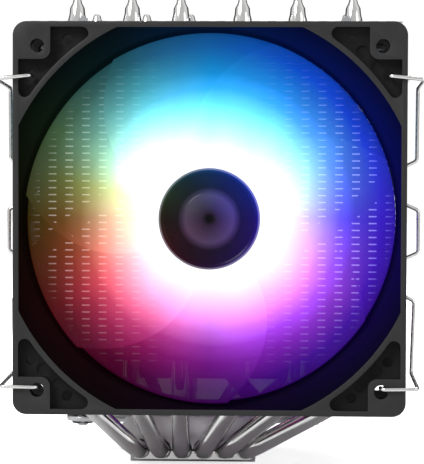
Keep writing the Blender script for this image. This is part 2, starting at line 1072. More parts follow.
@dataclass(frozen=True)
class FinSheet(Finish):
    """Rolled aluminium sheet whose front edges catch the fan's light."""

    light: LightField | None = None
    tint: Colour = (0.62, 0.63, 0.65)
    shade: Colour = (0.50, 0.51, 0.53)
    front: float = 0.0
    depth: float = 22.0
    tip: float = 0.3
    glint: float = 17.0
    sharpness: float = 3.0
    stray: float = 0.6
    shaded: Colour = (0.06, 0.06, 0.065)
    lit_radius: float = 57.5

    def haze(self, kit: Nodes) -> Socket:
        """Adds the nodes of the dim light that falls between the sheets."""
        fade = ((15, 0.5, 0.0, 0.0), (35, 0.4, 0.0, 0.0), (50, 0.15, 0.0, 0.2), (57, 0.0, 0.0, 0.0))
        return LightField(self.light.centre, fade=fade).glow(kit)

    def dress(self, kit: Nodes) -> None:
        """Builds a rolled sheet; its tips glint at both sides of the hub, and the rest glows dimly.

        Args:
            kit: Node tree of the material.
        """
        rolled = kit.noise(0.3, 3, (0.05, 1, 1))
        behind = kit.math("SUBTRACT", kit.split(kit.place)["Y"], self.front)
        at_tip = kit.math("LESS_THAN", behind, self.tip * MM)
        _, radius, sideways = self.light.polar(kit)
        aslant = kit.math("POWER", sideways, self.sharpness)
        glint = kit.math("MULTIPLY", kit.math("MULTIPLY", at_tip, self.glint), aslant)
        share = kit.math("SUBTRACT", 1.0, kit.math("DIVIDE", behind, self.depth * MM))
        near = kit.math("MAXIMUM", share, 0.0)
        stray = kit.math("MULTIPLY", near, self.stray)
        in_light = kit.math("LESS_THAN", radius, self.lit_radius * MM)
        facing_fan = kit.math("MULTIPLY", near, in_light)
        metal = kit.blend(rolled, (*self.shade, 1), (*self.tint, 1))
        kit.set(
            Base_Color=kit.blend(facing_fan, metal, (*self.shaded, 1)),
            Metallic=1.0,
            Roughness=kit.span(rolled, 0.24, 0.38),
            Emission_Color=kit.vector(
                "ADD",
                kit.vector("SCALE", self.light.glow(kit), glint),
                kit.vector("SCALE", self.haze(kit), stray),
            ),
            Emission_Strength=1.0,
            Normal=kit.bump(rolled, 0.004),
        )


@dataclass(frozen=True)
class Windings(Finish):
    """Enamelled copper turns over a laminated core."""

    def dress(self, kit: Nodes) -> None:
        """Builds bands of wire with a lacquered sheen.

        Args:
            kit: Node tree of the material.
        """
        turns = kit.add("ShaderNodeTexWave", bands_direction="Y")
        kit.link(kit.place, turns.inputs["Vector"])
        turns.inputs["Scale"].default_value = 1 / (2.2 * MM)
        turns.inputs["Distortion"].default_value = 1.5
        kit.set(
            Base_Color=kit.blend(turns.outputs["Fac"], (0.30, 0.10, 0.03, 1), (0.75, 0.32, 0.14, 1)),
            Metallic=0.9,
            Roughness=kit.span(kit.noise(0.8), 0.25, 0.45),
            Normal=kit.bump(turns.outputs["Fac"], 0.08),
        )


@dataclass(frozen=True)
class SinteredPart(Finish):
    """Pressed and sintered powder: bronze or ferrite."""

    tint: Colour = (0.50, 0.33, 0.13)
    shade: Colour = (0.32, 0.20, 0.08)
    metallic: float = 1.0

    def dress(self, kit: Nodes) -> None:
        """Builds an open-pored pressed surface.

        Args:
            kit: Node tree of the material.
        """
        pores = kit.noise(0.4, 3)
        kit.set(
            Base_Color=kit.blend(pores, (*self.shade, 1), (*self.tint, 1)),
            Metallic=self.metallic,
            Roughness=kit.span(pores, 0.35, 0.6),
            Normal=kit.bump(pores, 0.03),
        )


@dataclass(frozen=True)
class BoardLaminate(Finish):
    """Green solder mask over copper tracks."""

    def dress(self, kit: Nodes) -> None:
        """Builds solder mask with raised tracks.

        Args:
            kit: Node tree of the material.
        """
        tracks = kit.add("ShaderNodeTexBrick")
        kit.link(kit.shifted((1, 0, 1)), tracks.inputs["Vector"])
        tracks.inputs["Scale"].default_value = 1 / (5 * MM)
        tracks.inputs["Mortar Size"].default_value = 0.05
        kit.set(
            Base_Color=kit.blend(tracks.outputs["Fac"], (0.012, 0.07, 0.03, 1), (0.03, 0.16, 0.07, 1)),
            Roughness=kit.span(kit.noise(1), 0.3, 0.45),
            Normal=kit.bump(tracks.outputs["Fac"], 0.04),
        )


class Slot(Enum):
    """The material slots of the record."""

    PLATE = "plated_copper"
    CLAMP = "clamp_aluminium"
    PIPE = "pipe_nickel"
    FIN = "fin_aluminium"
    STEEL = "bright_steel"
    DARK_STEEL = "dark_steel"
    WIRE = "clip_wire"
    FRAME = "fan_frame_plastic"
    BLADE = "frosted_blade_plastic"
    CAP = "hub_cap_plastic"


EDGE_FADE = (
    (15, 0.2, 0.1, 0.0), (26, 0.7, 0.35, 0.0), (36, 1.0, 0.6, 0.0), (50, 0.8, 0.6, 0.4),
    (54, 0.3, 0.3, 0.7), (57.5, 0.0, 0.0, 0.2), (58.5, 0.0, 0.0, 0.0),
)
MOULDING = MouldedPlastic("Black satin moulding")
POCKET = MouldedPlastic(
    "Black matt pocket", dark=(0.004, 0.004, 0.004), light=(0.008, 0.008, 0.008), gloss=(0.6, 0.75),
    shine=0.12,
)
PIPE_NICKEL = PlatedMetal("Nickel-plated pipe", tint=(0.84, 0.835, 0.82), gloss=(0.06, 0.12))
PLATE_NICKEL = PlatedMetal("Nickel-plated cold plate", gloss=(0.06, 0.14), lines=(0.05, 1, 1))
CLAMP_ALUMINIUM = BlastedAluminium("Blasted clamp block")
STEEL = BrushedSteel("Satin nickelled steel")
BLACK_STEEL = BrushedSteel(
    "Black-oxide steel", tint=(0.10, 0.10, 0.105), shade=(0.045, 0.045, 0.05), gloss=(0.30, 0.45)
)
SPRING_WIRE = PlatedMetal("Drawn spring wire", gloss=(0.12, 0.22), lines=(1, 1, 0.1))

FERRITE = SinteredPart(
    "Bonded ferrite", tint=(0.05, 0.045, 0.04), shade=(0.02, 0.02, 0.02), metallic=0.0
)
MOTOR_FINISHES = {
    "stator": Windings("Enamelled windings"),
    "bearing": SinteredPart("Sintered bronze"),
    "magnet": FERRITE,
    "board": BoardLaminate("Solder-masked board"),
    "yoke": BLACK_STEEL,
    "shaft": STEEL,
}


def fit(
    piece: Piece, finish: Finish, body: str, slot: Slot, *nodes: str
) -> Piece:
    """Dresses a finished piece and fits it to the frame.

    Args:
        piece: The finished piece.
        finish: What it is dressed in.
        body: CAD body that it moves with.
        slot: Material slot that it takes its finish from.
        nodes: CAD nodes that it stands for.

    Returns:
        The same piece.
    """
    finish.coat(piece)
    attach(piece, body)
    if nodes:
        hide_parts(*nodes)
    log.info("%s: %d faces, rides on %s", piece.name, len(piece.data.polygons), body)
    return piece


def redress(node: str, finish: Finish) -> None:
    """Gives a CAD node that stays in view a finish of its own.

    Args:
        node: CAD node that stays in view.
        finish: What it is dressed in.
    """
    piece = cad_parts[node]
    finish.coat(piece)
    log.info("%s keeps its shape, finish %s", node, finish.name)


def middle_of(node: str) -> Vector:
    """Gives the middle of a CAD node's box, in metres."""
    low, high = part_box(node)
    return (low + high) / 2


# ------------------------------------------------------------------ heatsink


@dataclass
class HeatpipeBank:
    """Six U-shaped heatpipes, nickel plated, with swaged and sealed upper ends."""

    count: int = 6
    radius: float = 3.0
    base_pitch: float = 7.1
    knee: float = 24.0
    exit: float = 27.0
    height: float = 4.2
    upper_bend: float = 12.0
    lower_bend: float = 8.0
    swage: tuple[Flat, ...] = (
        (7.0, 1.0), (5.4, 0.86), (3.4, 0.80), (1.8, 0.52), (0.7, 0.44), (0.0, 0.26),
    )
    sides: int = 28

    def route(self, node: str, number: int) -> tuple[Route, list[float]]:
        """Plots one pipe's centre line from tip to tip.

        Args:
            node: CAD node that the pipe stands for.
            number: Which pipe it is, from 1.

        Returns:
            The points, and the share of the radius at each.
        """
        low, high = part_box(node)
        base_x = (number - (self.count + 1) / 2) * self.base_pitch
        tower_x = high.x / MM - self.radius if base_x > 0 else low.x / MM + self.radius
        tower_y = high.y / MM - self.radius
        top = high.z / MM
        leg = [
            Vector((tower_x, -tower_y, top)),
            Vector((tower_x, -tower_y, self.knee)),
            Vector((base_x, -self.exit, self.height)),
        ]
        back = [Vector((p.x, -p.y, p.z)) for p in reversed(leg)]
        radii = (self.upper_bend, self.lower_bend, self.lower_bend, self.upper_bend)
        bends = Outline.bent([p * MM for p in leg + back], radii, 10)[1:-1]
        front = [Vector((tower_x, -tower_y, top - drop)) * MM for drop, _ in reversed(self.swage)]
        rear = [Vector((p.x, -p.y, p.z)) for p in reversed(front)]
        shares = [share for _, share in reversed(self.swage)]
        return front + bends + rear, shares + [1.0] * len(bends) + shares[::-1]

    def build(self) -> None:
        """Makes and fits the six pipes."""
        for number in range(1, self.count + 1):
            node = f"heatpipe_{number}"
            route, sizes = self.route(node, number)
            pipe = Bench.wire(f"nickel_pipe_{number}", route, self.radius, self.sides, sizes)
            fit(Bench.smooth(pipe, 50), PIPE_NICKEL, "heatsink", Slot.PIPE, node)


@dataclass
class FinTower:
    """A tower of thin fins with toothed edges, pipe collars, folded tabs and clip grooves."""

    fins: int = 50
    gauge: float = 0.4
    half_width: float = 60.0
    half_depth: float = 20.2
    bottom: float = 37.0
    top: float = 145.0
    tooth_pitch: float = 5.35
    tooth_height: float = 1.6
    tip_half: float = 1.1
    root_half: float = 1.9
    pipe_pitch: float = 18.0
    collar: tuple[float, float] = (3.03, 3.4)
    collar_height: float = 1.5
    groove: tuple[float, float, float] = (11.2, 1.0, 2.6)
    tab_places: tuple[float, ...] = (-41.2, 42.3)
    tab_half: float = 1.5
    tab_setback: float = 0.5

    @property
    def pitch(self) -> float:
        """Height from one fin to the next."""
        return (self.top - self.bottom - self.gauge) / (self.fins - 1)

    def toothed_edge(self) -> list[Flat]:
        """Draws the front edge, from left to right, as flat-topped teeth.

        Returns:
            The points of the edge.
        """
        teeth = int(2 * self.half_width / self.tooth_pitch)
        root = -self.half_depth + self.tooth_height
        edge: list[Flat] = [(-self.half_width, root)]
        for number in range(teeth):
            x = (number - (teeth - 1) / 2) * self.tooth_pitch
            edge += [(x - self.root_half, root), (x - self.tip_half, -self.half_depth)]
            edge += [(x + self.tip_half, -self.half_depth), (x + self.root_half, root)]
        return edge + [(self.half_width, root)]

    def side_edge(self) -> list[Flat]:
        """Draws the right-hand edge, from front to back, with its two wire grooves.

        Returns:
            The points of the edge.
        """
        place, half, depth = self.groove
        edge: list[Flat] = []
        for y in (-place, place):
            floor = self.half_width - depth + half
            edge.append((self.half_width, y - half))
            edge += Outline.arc((floor, y), half, 270, 90, 6)
            edge.append((self.half_width, y + half))
        return edge

    def fin(self) -> Piece:
        """Makes one fin, with its six collars and its folded tabs.

        Returns:
            The fin.
        """
        half = self.toothed_edge() + self.side_edge()
        outline = half + [(-x, -y) for x, y in half]
        sheet = Bench.prism("fin", outline, Axis.Z, 0, self.gauge)
        inner, outer = self.collar
        places = [(i - 2.5) * self.pipe_pitch for i in range(6)]
        drills = [Bench.rod("drill", outer - 0.05, (x, 0), Axis.Z, -1, 1, 16) for x in places]
        Bench.machine(sheet, Cut.AWAY, *drills)
        profile = [(inner, 0), (outer, 0), (outer, self.collar_height), (inner, self.collar_height)]
        master = Bench.turned("collar", profile, Axis.Z, 16)
        extras = []
        for x in places:
            extras.append(Bench.settle(Bench.copy(master, "collar"), Vector((x * MM, 0, 0))))
        bpy.data.objects.remove(master)
        for x in self.tab_places:
            for side in (-1, 1):
                extras.append(self.tab(x, side))
        return Bench.join(sheet, *extras)

    def tab(self, x: float, side: int) -> Piece:
        """Makes a folded tab that stands on one fin and hooks under the next.

        Args:
            x: Place of the tab along the edge.
            side: -1 for the front edge, 1 for the back edge.

        Returns:
            The tab.
        """
        half, neck, reach = self.tab_half, 0.45 * self.tab_half, self.pitch - 0.12
        outline = [
            (x - half, self.gauge), (x + half, self.gauge), (x + half, 0.62 * reach),
            (x + neck, 0.72 * reach), (x + neck, reach), (x - neck, reach),
            (x - neck, 0.72 * reach), (x - half, 0.62 * reach),
        ]
        edge = side * (self.half_depth - self.tab_setback)
        inner = edge - side * self.gauge
        return Bench.prism("tab", outline, Axis.Y, min(edge, inner), max(edge, inner))

    def build(self) -> None:
        """Makes the front tower, copies it to the back and fits both."""
        master = Bench.stack(self.fin(), self.fins, self.pitch)
        Bench.settle(master, Vector((0, 0, self.bottom * MM)))
        for side, fan in (("front", "front"), ("rear", "middle")):
            node = f"{side}_fin_stack"
            place = middle_of(node)
            tower = Bench.copy(master, f"{side}_fins")
            Bench.settle(tower, Vector((place.x, place.y, 0)))
            low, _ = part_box(node)
            light = LightField(fan_centre(fan), fade=EDGE_FADE)
            finish = FinSheet(f"Rolled fin sheet, {side}", light, front=low.y)
            fit(tower, finish, "heatsink", Slot.FIN, node)
        bpy.data.objects.remove(master)


@dataclass
class ColdPlateAndClamp:
    """The grooved cold plate and the clamp block that presses the pipes into it."""

    half_width: float = 21.0
    half_depth: float = 20.0
    plate_top: float = 3.4
    groove_radius: float = 3.15
    groove_height: float = 4.2
    pipe_pitch: float = 7.1
    cap_half_width: float = 24.0
    cap_bottom: float = 3.9
    cap_top: float = 15.0
    chamfer: tuple[float, float] = (2.1, 2.9)
    channel_half: float = 6.4
    channel_floor: float = 11.0
    screw_offset: float = 8.0
    screw_hole: float = 1.9

    def drills(self) -> list[Piece]:
        """Makes the cutters for the six pipe grooves.

        Returns:
            The cutters.
        """
        return [
            Bench.rod(
                "groove", self.groove_radius, ((i - 2.5) * self.pipe_pitch, self.groove_height),
                Axis.Y, -self.half_depth - 2, self.half_depth + 2, 40,
            )
            for i in range(6)
        ]

    def plate(self) -> Piece:
        """Makes the cold plate with chamfered lower edges.

        Returns:
            The cold plate.
        """
        outline = Outline.rounded_box(self.half_width, self.half_depth, 0.8, 4)
        plate = Bench.prism("nickel_cold_plate", outline, Axis.Z, 0, self.plate_top)
        Bench.machine(plate, Cut.AWAY, *self.drills())
        return Bench.smooth(Bench.break_edges(plate, 0.25, 2))

    def clamp(self) -> Piece:
        """Makes the clamp block: chamfered top, channel for the bar, two screw holes.

        Returns:
            The clamp block.
        """
        w, (cx, cz) = self.cap_half_width, self.chamfer
        outline = [
            (-w, self.cap_bottom), (w, self.cap_bottom), (w, self.cap_top - cz),
            (w - cx, self.cap_top), (cx - w, self.cap_top), (-w, self.cap_top - cz),
        ]
        block = Bench.prism("clamp_block", outline, Axis.Y, -self.half_depth, self.half_depth)
        section = Outline.box(-self.channel_half, self.channel_half, self.channel_floor, 20)
        channel = Bench.prism("channel", section, Axis.X, -w - 2, w + 2)
        Bench.machine(block, Cut.AWAY, *self.drills())
        Bench.machine(block, Cut.AWAY, channel)
        places = ((-self.screw_offset, 0), (self.screw_offset, 0))
        holes = [Bench.rod("hole", self.screw_hole, place, Axis.Z, 8, 20) for place in places]
        Bench.machine(block, Cut.AWAY, *holes)
        return Bench.smooth(Bench.break_edges(block, 0.35, 3))

    def build(self) -> None:
        """Makes and fits both pieces."""
        fit(self.plate(), PLATE_NICKEL, "heatsink", Slot.PLATE, "base_plate")
        fit(self.clamp(), CLAMP_ALUMINIUM, "heatsink", Slot.CLAMP, "base_cap")


@dataclass
class Crossbar:
    """The flat steel bar and the two pan-head screws that hold it on the clamp block."""

    half_length: float = 44.5
    half_width: float = 6.0
    bottom: float = 11.3
    top: float = 12.9
    screw_offset: float = 39.0
    screw_hole: float = 2.5
    fix_offset: float = 8.0
    fix_hole: float = 1.9

    def bar(self) -> Piece:
        """Makes the bar with round ends, a waist beside each end and four holes.

        Returns:
            The bar.
        """
        reach = self.half_length - self.half_width
        outline = Outline.arc((reach, 0), self.half_width, -90, 90, 24)
        outline += Outline.arc((-reach, 0), self.half_width, 90, 270, 24)
        bar = Bench.prism("steel_crossbar", outline, Axis.Z, self.bottom, self.top)
        holes = [
            Bench.rod("hole", radius, (side * x, 0), Axis.Z, self.bottom - 1, self.top + 1)
            for x, radius in ((self.screw_offset, self.screw_hole), (self.fix_offset, self.fix_hole))
            for side in (-1, 1)
        ]
        Bench.machine(bar, Cut.AWAY, *holes)
        return Bench.smooth(Bench.break_edges(bar, 0.2, 2))

    def screw(self, side: str) -> Piece:
        """Makes one pan-head screw with a cross recess.

        Args:
            side: Which of the two it is, left or right.

        Returns:
            The screw, in its place.
        """
        x = middle_of(f"{side}_crossbar_screw").x
        head = self.top + 0.3
        profile = [(0, 8.4), (1.2, 8.4), (1.5, 8.8), (1.5, head), (2.8, head), (2.8, 14.1)]
        profile += Outline.arc((2.1, 14.1), 0.7, 0, 90, 5)[1:] + [(0, 14.8)]
        screw = Bench.turned(f"{side}_pan_head_screw", profile, Axis.Z, 48)
        bars = [Outline.box(-1.6, 1.6, -0.28, 0.28), Outline.box(-0.28, 0.28, -1.6, 1.6)]
        for bar in bars:
            Bench.machine(screw, Cut.AWAY, Bench.prism("recess", bar, Axis.Z, 13.9, 16))
        return Bench.settle(Bench.smooth(screw), Vector((x, 0, 0)))

    def build(self) -> None:
        """Makes and fits the bar and its screws."""
        fit(self.bar(), STEEL, "heatsink", Slot.STEEL, "crossbar")
        for side in SIDES:
            fit(self.screw(side), STEEL, "heatsink", Slot.STEEL, f"{side}_crossbar_screw")


@dataclass
class SpringScrew:
    """A captive screw at one end of the bar: screw, spring, washer and retaining ring."""

    side: str
    thread: tuple[float, float, float] = (9.4, 13.0, 0.7)
    shank: float = 2.0
    head: tuple[float, float, float] = (4.0, 22.6, 25.2)
    slot: tuple[float, float] = (0.6, 1.2)
    coil: tuple[float, float, float] = (3.1, 13.2, 21.4)
    wire: float = 0.55
    turns: int = 7
    stroke: float = 3.5

    def screw(self) -> Piece:
        """Makes the screw: threaded tip, long shank and slotted head.

        Returns:
            The screw, on the axis.
        """
        bottom, top, pitch = self.thread
        root = self.shank - 0.35
        profile: list[Flat] = [(0, bottom), (root - 0.2, bottom)]
        z = bottom + 0.3
        while z + pitch < top:
            profile += [(root, z), (self.shank, z + 0.4 * pitch), (self.shank, z + 0.6 * pitch)]
            z += pitch
        radius, low, high = self.head
        profile += [(root, z), (self.shank - 0.1, z + 0.4), (self.shank - 0.1, low), (radius - 0.3, low)]
        profile += [(radius, low + 0.3), (radius, high - 0.5), (radius - 0.5, high), (0, high)]
        screw = Bench.turned(f"{self.side}_captive_screw", profile, Axis.Z, 48)
        half, depth = self.slot
        cut = Bench.prism("slot", Outline.box(-half, half, high - depth, high + 1), Axis.X, -6, 6)
        return Bench.smooth(Bench.machine(screw, Cut.AWAY, cut))

    def ring(self) -> Piece:
        """Makes the open retaining ring under the bar.

        Returns:
            The ring, on the axis.
        """
        profile = [(2.35, 10.3), (3.7, 10.3), (3.7, 11), (2.35, 11)]
        ring = Bench.turned(f"{self.side}_retaining_ring", profile, Axis.Z, 48)
        gap = Bench.prism("gap", Outline.box(-1.1, 1.1, -6, 0), Axis.Z, 9, 12)
        return Bench.smooth(Bench.break_edges(Bench.machine(ring, Cut.AWAY, gap), 0.1, 2))

    def washer(self) -> Piece:
        """Makes the washer under the head, with broken edges."""
        profile = [(2.35, 21.7), (4.0, 21.7), (4.2, 21.85), (4.2, 22.15), (4.0, 22.3), (2.35, 22.3)]
        return Bench.smooth(Bench.turned(f"{self.side}_steel_washer", profile, Axis.Z, 48))

    def spring(self) -> Piece:
        """Winds the spring, with closed turns at both ends.

        Returns:
            The spring, on the axis.
        """
        radius, low, high = self.coil
        low, high = low + self.wire, high - self.wire
        steps = 24 * self.turns
        route = []
        for step in range(steps + 1):
            share = step / steps
            rise = min(max((share * self.turns - 1) / (self.turns - 2), 0), 1)
            turn = share * self.turns
            closing = 2 * self.wire * (min(turn, 1) + max(turn - self.turns + 1, 0))
            z = low + closing + (high - low - 4 * self.wire) * rise
            angle = FULL_TURN * self.turns * share
            route.append(Vector((radius * math.cos(angle), radius * math.sin(angle), z)) * MM)
        return Bench.smooth(Bench.wire(f"{self.side}_coil_spring", route, self.wire, 10), 60)

    def build(self) -> None:
        """Makes the four pieces and fits each to the body that it moves with."""
        x = middle_of(f"{self.side}_mounting_screw").x
        place = Vector((x, 0, 0))
        screw_body, carrier = f"{self.side}_screw", f"{self.side}_screw_carrier"
        for piece, finish, body, slot, node in (
            (self.screw(), STEEL, screw_body, Slot.STEEL, "mounting_screw"),
            (self.ring(), BLACK_STEEL, screw_body, Slot.DARK_STEEL, "screw_ring"),
            (self.washer(), STEEL, carrier, Slot.STEEL, "screw_washer"),
        ):
            fit(Bench.settle(piece, place), finish, body, slot, f"{self.side}_{node}")
        spring = Bench.settle(self.spring(), place)
        fit(spring, BLACK_STEEL, "heatsink", Slot.DARK_STEEL, f"{self.side}_mounting_spring")
        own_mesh(spring)


# ------------------------------------------------------------------ fans


def fan_centre(fan: str) -> Vector:
    """Gives the middle of a fan's front face, in metres.

    Args:
        fan: Name of the fan.

    Returns:
        The middle of the face.
    """
    low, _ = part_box(f"{fan}_fan_frame")
    middle = middle_of(f"{fan}_fan_frame")
    return Vector((middle.x, low.y, middle.z))


class Zone(IntEnum):
    """The finishes on the frame, in the order of its material slots."""

    BODY = 0
    DUCT = 1
    POCKET = 2


@dataclass
class FanFrame:
    """The moulded frame: two flanges, a barrel, pocketed corners, four arms and a motor cup."""

    half: float = 60.0
    depth: float = 25.6
    corner: float = 4.2
    flange: float = 4.6
    opening: float = 64.7
    side_wall: float = 1.8
    bore: float = 58.0
    barrel: float = 59.7
    bolt: float = 52.5
    bolt_hole: float = 2.15
    rim: float = 1.7
    pad: float = 11.5
    pad_round: float = 2.8
    pocket_end: float = 2.0
    pocket_wall: float = 66.4
    pocket_depth: float = 2.8
    hooks: tuple[Flat, ...] = ((54.5, 43.5), (43.5, 54.5))
    hook_hole: float = 1.6
    pin_marks: tuple[Flat, ...] = ((51.0, 46.4), (46.4, 51.0))
    arm_width: float = 5.0
    arm_depth: float = 3.0
    cup: float = 20.5
    facets: int = 144
    arm_route: tuple[Flat, Flat, Flat] = ((58.6, 14.6), (36, -7), (13, -15))
    arm_steps: int = 16
    inward_share: float = 0.45
    flat_share: float = 0.9
    shaded_share: float = 0.3

    def pocket(self) -> list[Flat]:
        """Draws the recess in the upper right corner, round the bolt pad and the opening wall.

        Returns:
            The corners of the recess.
        """
        edge, pad = self.half - self.rim, self.half - self.pad
        near = edge - self.pocket_end
        far = math.sqrt((self.pocket_wall + self.pocket_end) ** 2 - near**2)
        lean = math.degrees(math.atan2(far, near))
        turn = pad + self.pad_round
        outline = Outline.arc((0, 0), self.pocket_wall, 90 - lean, lean, 10)
        outline += Outline.arc((near, far), self.pocket_end, 180 + lean, 360, 6)[1:]
        outline += [(edge, pad)] + Outline.arc((turn, turn), self.pad_round, 270, 180, 6)
        outline += [(pad, edge)] + Outline.arc((far, near), self.pocket_end, 90, 270 - lean, 6)[:-1]
        return outline

    def arm(self) -> Piece:
        """Makes one swept arm from the barrel to the motor cup.

        Returns:
            The arm.
        """
        start, bend, end = (Vector(point) for point in self.arm_route)
        left: list[Flat] = []
        right: list[Flat] = []
        for step in range(self.arm_steps + 1):
            t = step / self.arm_steps
            point = start * (1 - t) ** 2 + bend * 2 * t * (1 - t) + end * t**2
            along = ((bend - start) * (1 - t) + (end - bend) * t).normalized()
            side = Vector((-along.y, along.x)) * self.arm_width / 2
            left.append(tuple(point + side))
            right.insert(0, tuple(point - side))
        return Bench.prism("arm", left + right, Axis.Y, self.depth - self.arm_depth, self.depth)

    def motor_cup(self) -> Piece:
        """Makes the motor cup with its bearing tube, open to the front.

        Returns:
            The cup.
        """
        outer, wall, floor = self.cup, self.cup - 1.2, 23.4
        profile = [
            (0, 24.4), (2.9, 24.4), (2.9, 6), (4.4, 6), (4.4, floor), (wall, floor),
            (wall, 18.8), (outer, 18.8), (outer, self.depth), (17.5, self.depth),
            (17.2, self.depth - 0.4), (0, self.depth - 0.4),
        ]
        return Bench.turned("cup", profile, Axis.Y, 72)

    def at_corners(
        self, places: Sequence[Flat], radius: float, low: float, high: float
    ) -> list[Piece]:
        """Makes drills at the given places and at their turns to the other corners.

        Args:
            places: Places in the upper right corner.
            radius: Radius of each drill.
            low: Where the drills start, back from the front face.
            high: Where they end.

        Returns:
            The drills.
        """
        drills = []
        for quarter in range(4):
            for x, z in places:
                for _ in range(quarter):
                    x, z = z, -x
                drills.append(Bench.rod("drill", radius, (x, z), Axis.Y, low, high))
        return drills

    def is_side(self, out: Vector) -> bool:
        """Tells whether a place across the axis lies on the frame's outer sides."""
        return max(abs(out.x), abs(out.z)) > (self.half - 0.5) * MM

    def finish_faces(self, frame_piece: Piece, place: Vector, duct: Finish) -> None:
        """Gives the inner wall of the air passage and the pocket floors finishes of their own.

        Args:
            frame_piece: The frame, in its place.
            place: Middle of its front face, in metres.
            duct: Finish of the inner wall.
        """
        frame_piece.data.materials.append(duct.material())
        frame_piece.data.materials.append(POCKET.material())
        widest = (self.opening + 0.1) * MM
        shade_from = self.shaded_share * self.pocket_depth * MM
        shade_to = (self.depth - self.flange + 0.1) * MM
        flats = (self.flange * MM, (self.depth - self.flange) * MM)
        for face in frame_piece.data.polygons:
            out = Vector((face.center.x - place.x, 0, face.center.z - place.z))
            inward = face.normal.dot(out) < -self.inward_share * out.length
            depth = face.center.y - place.y
            off_flat = min(abs(depth - flat) for flat in flats)
            if inward and (self.bore - 1) * MM < out.length < widest:
                face.material_index = Zone.DUCT
            elif abs(face.normal.y) > self.flat_share and off_flat < 0.1 * MM:
                face.material_index = Zone.POCKET
            elif out.length > widest and shade_from < depth < shade_to and not self.is_side(out):
                face.material_index = Zone.POCKET

    def build(self, name: str) -> Piece:
        """Makes the frame with its axis on Y and its front face at 0.

        Args:
            name: Name of the new piece.

        Returns:
            The moulded frame.
        """
        outline = Outline.rounded_box(self.half, self.half, self.corner, 10)
        body = Bench.prism(name, outline, Axis.Y, 0, self.flange)
        back = Bench.prism("back", outline, Axis.Y, self.depth - self.flange, self.depth)
        low, high = self.flange - 1, self.depth - self.flange + 1
        tube = Bench.rod("barrel", self.barrel, (0, 0), Axis.Y, low, high, self.facets)
        Bench.machine(body, Cut.ONTO, tube)
        Bench.machine(body, Cut.ONTO, back)
        mouth = [(0, -1), (self.opening, -1), (self.opening, 0.8), (self.bore, 5.6)]
        mouth += [(self.bore, self.depth + 1), (0, self.depth + 1)]
        passage = Bench.turned("passage", mouth, Axis.Y, self.facets)
        side = self.half - self.side_wall
        square = Bench.prism("square", Outline.box(-side, side, -side, side), Axis.Y, -2, self.depth + 2)
        Bench.machine(body, Cut.AWAY, Bench.machine(passage, Cut.COMMON, square))
        for quarter in range(4):
            pocket = Bench.prism("pocket", self.pocket(), Axis.Y, -1, self.pocket_depth)
            pocket.data.transform(Matrix.Rotation(quarter * math.pi / 2, 4, "Y"))
            Bench.machine(body, Cut.AWAY, pocket)
        corner = ((self.bolt, self.bolt),)
        Bench.machine(body, Cut.AWAY, *self.at_corners(corner, self.bolt_hole, -1, self.depth + 1))
        Bench.machine(body, Cut.AWAY, *self.at_corners(self.hooks, self.hook_hole, -1, self.flange + 1))
        marks = self.at_corners(self.pin_marks, 1.8, -1, self.pocket_depth + 0.35)
        Bench.machine(body, Cut.AWAY, *marks)
        for quarter in range(4):
            arm = self.arm()
            arm.data.transform(Matrix.Rotation(quarter * math.pi / 2, 4, "Y"))
            Bench.machine(body, Cut.ONTO, arm)
        Bench.machine(body, Cut.ONTO, self.motor_cup())
        Bench.break_edges(body, 0.3, 2, 50)
        return Bench.smooth(body, 30)


@dataclass
class Impeller:
    """The cup-shaped hub with seven swept blades."""

    hub: float = 17.5
    front: float = 2.2
    back: float = 18.3
    wall: float = 1.2
    tips: tuple[float, float] = (56.7, 57.5)
    blades: int = 7
    span: float = 52.5
    sweep: float = 34.0
    sweep_power: float = 1.6
    blade_front: float = 3.2
    gauge: float = 1.3
    camber: float = 0.22
    root_bow: float = 0.4
    across: int = 20
    along: int = 26

    def hub_cup(self, name: str) -> Piece:
        """Makes the hub with its rounded front edge and its shaft boss.

        Args:
            name: Name of the new piece.

        Returns:
            The hub.
        """
        inner, floor = self.hub - self.wall, self.front + 1.6
        edge = Outline.arc((self.hub - 1.2, self.front + 1.2), 1.2, -90, 0, 6)
        profile = [(0, self.front)] + edge + [
            (self.hub, self.back), (inner, self.back), (inner, floor), (3.5, floor),
            (3.5, 5.4), (1.5, 5.4), (1.5, floor), (0, floor),
        ]
        return Bench.turned(name, profile, Axis.Y, 72)

    def blade(self) -> Piece:
        """Makes one blade from a grid: swept, twisted and cambered, then given its thickness.

        Returns:
            The blade, on the hub's right.
        """
        bpy.ops.object.select_all(action="DESELECT")
        bpy.ops.mesh.primitive_grid_add(x_subdivisions=self.along, y_subdivisions=self.across, size=1)
        blade = Bench.name(bpy.context.object, "blade")
        root = self.hub - self.wall / 2
        rise = self.back - self.blade_front - self.gauge
        middle = (self.back + self.blade_front) / 2
        for vertex in blade.data.vertices:
            outward, around = vertex.co.x + 0.5, vertex.co.y
            tip = self.tips[1] - (self.tips[1] - self.tips[0]) * (around + 0.5)
            radius = root + (tip - root) * outward
            lag = self.sweep * outward**self.sweep_power
            angle = math.radians((around + 0.5) * self.span - lag)
            bow = self.camber * (around**2 - 0.25) * (self.root_bow + (1 - self.root_bow) * outward)
            lift = middle - (around + bow) * rise
            vertex.co = Axis.Y.point(radius * math.cos(angle), radius * math.sin(angle), lift)
        Bench.modify(blade, "SOLIDIFY", thickness=self.gauge * MM, offset=0)
        with Bench.editing(blade):
            bpy.ops.mesh.normals_make_consistent(inside=False)
        return Bench.break_edges(blade, 0.4, 2, 60)

    def build(self, name: str) -> Piece:
        """Makes the impeller with its axis on Y.

        Args:
            name: Name of the new piece.

        Returns:
            The impeller, one moulding.
        """
        body = self.hub_cup(name)
        first = self.blade()
        for number in range(1, self.blades):
            twin = Bench.copy(first, "blade", turn=360 * number / self.blades)
            Bench.machine(body, Cut.ONTO, twin)
        Bench.machine(body, Cut.ONTO, first)
        return Bench.smooth(body, 40)


